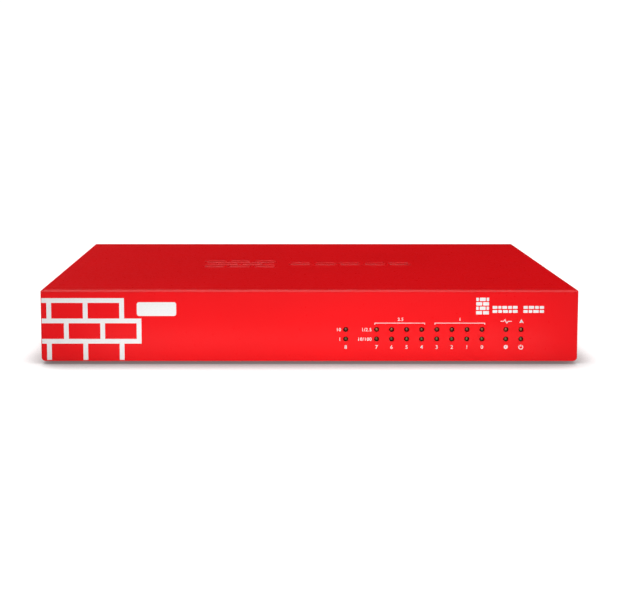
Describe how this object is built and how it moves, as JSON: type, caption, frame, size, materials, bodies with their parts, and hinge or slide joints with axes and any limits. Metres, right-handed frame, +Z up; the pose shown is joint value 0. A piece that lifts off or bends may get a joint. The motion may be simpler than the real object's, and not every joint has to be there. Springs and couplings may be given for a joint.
{
  "type": "firewall appliance",
  "caption": "Desktop network firewall appliance: low folded-sheet case with front port indicators, rear network, console, USB and power connectors, and side fans.",
  "frame": {"origin": "centre of the bounding box's underside, on the surface that the feet stand on", "axes": "+X to the right as seen from the front, the front faces -Y, the connectors face +Y, +Z up"},
  "size_m": [0.328, 0.204, 0.0463],
  "materials": {
    "red_paint": "semi-gloss red powder coat on steel",
    "foot_rubber": "matt",
    "black_screw": "black oxide",
    "zinc_screw": "bright zinc plate",
    "label_film": "satin",
    "board_laminate": "green solder mask",
    "brass_post": "machined",
    "processor_package": "substrate with a dark die",
    "thermal_compound": "matt grey",
    "black_anodised": "black anodised, brushed",
    "black_moulding": "moulded",
    "module_green": "solder mask",
    "module_blue": "solder mask",
    "chip_epoxy": "moulded epoxy",
    "coin_steel": "satin",
    "capacitor_can": "bare can with a dark mark",
    "tin_plate": "tin plated sheet",
    "gold_contact": "gold plated",
    "blue_moulding": "moulded",
    "plated_pin": "nickel plate",
    "rocker_black": "fine satin",
    "black_wire": "insulated wire",
    "red_wire": "insulated wire",
    "nylon_plug": "natural nylon",
    "button_white": "moulded",
    "zinc_bracket": "zinc coated sheet",
    "fan_black": "moulded",
    "motor_copper": "enamelled copper and laminations",
    "lamp_lens": "smoked translucent lens, unlit"
  },
  "bodies": {
    "chassis": {"top_cover": "red_paint", "base_pan": "red_paint", "rear_panel": "red_paint", "rubber_feet": "foot_rubber", "cover_screws": "black_screw", "panel_screws": "zinc_screw", "rating_label": "label_film", "main_board": "board_laminate", "board_standoffs": "brass_post", "board_screws": "zinc_screw", "processor": "processor_package", "thermal_pad": "thermal_compound", "heat_sink": "black_anodised", "heat_sink_screws": "zinc_screw", "memory_socket": "black_moulding", "memory_module": "module_green", "memory_chips": "chip_epoxy", "storage_socket": "black_moulding", "storage_module": "module_blue", "storage_screw": "brass_post", "battery_holder": "black_moulding", "coin_cell": "coin_steel", "network_chips": "chip_epoxy", "capacitors": "capacitor_can", "inductors": "chip_epoxy", "sfp_cage": "tin_plate", "sfp_connector": "black_moulding", "sfp_gasket": "tin_plate", "lan_shell_a": "tin_plate", "lan_shell_b": "tin_plate", "lan_body_a": "black_moulding", "lan_body_b": "black_moulding", "console_shell": "tin_plate", "console_body": "black_moulding", "jack_contacts": "gold_contact", "usb_shell": "tin_plate", "usb_insulator": "blue_moulding", "dc_jack": "black_moulding", "dc_pin": "plated_pin", "switch_housing": "black_moulding", "switch_terminals": "plated_pin", "switch_cable": "black_wire", "switch_plug": "nylon_plug", "reset_switch": "black_moulding", "ground_screw": "zinc_screw", "ground_washer": "zinc_screw", "fan_bracket": "zinc_bracket", "fan_1_frame": "fan_black", "fan_1_motor": "motor_copper", "fan_2_frame": "fan_black", "fan_2_motor": "motor_copper", "fan_screws": "zinc_screw", "fan_cables": "red_wire", "fan_plugs": "nylon_plug", "led_holders": "black_moulding", "indicator_lamps": "lamp_lens"},
    "rocker": {"power_rocker": "rocker_black"},
    "reset": {"reset_button": "button_white"},
    "fan_front": {"fan_1_rotor": "fan_black"},
    "fan_rear": {"fan_2_rotor": "fan_black"}
  },
  "joints": [
    {"name": "power_rocker_tilt", "type": "hinge", "parent": "chassis", "child": "rocker", "pos_m": [0.108, 0.09498, 0.022], "axis": [1, 0, 0], "range_deg": [0, 20]},
    {"name": "reset_button_press", "type": "slide", "parent": "chassis", "child": "reset", "axis": [0, -1, 0], "range_m": [0, 0.0005], "stiffness_N_per_m": 300},
    {"name": "front_fan_spin", "type": "hinge", "parent": "chassis", "child": "fan_front", "pos_m": [0.15, -0.038, 0.0242], "axis": [1, 0, 0], "continuous": true},
    {"name": "rear_fan_spin", "type": "hinge", "parent": "chassis", "child": "fan_rear", "pos_m": [0.15, 0.0044, 0.0242], "axis": [1, 0, 0], "continuous": true}
  ]
}
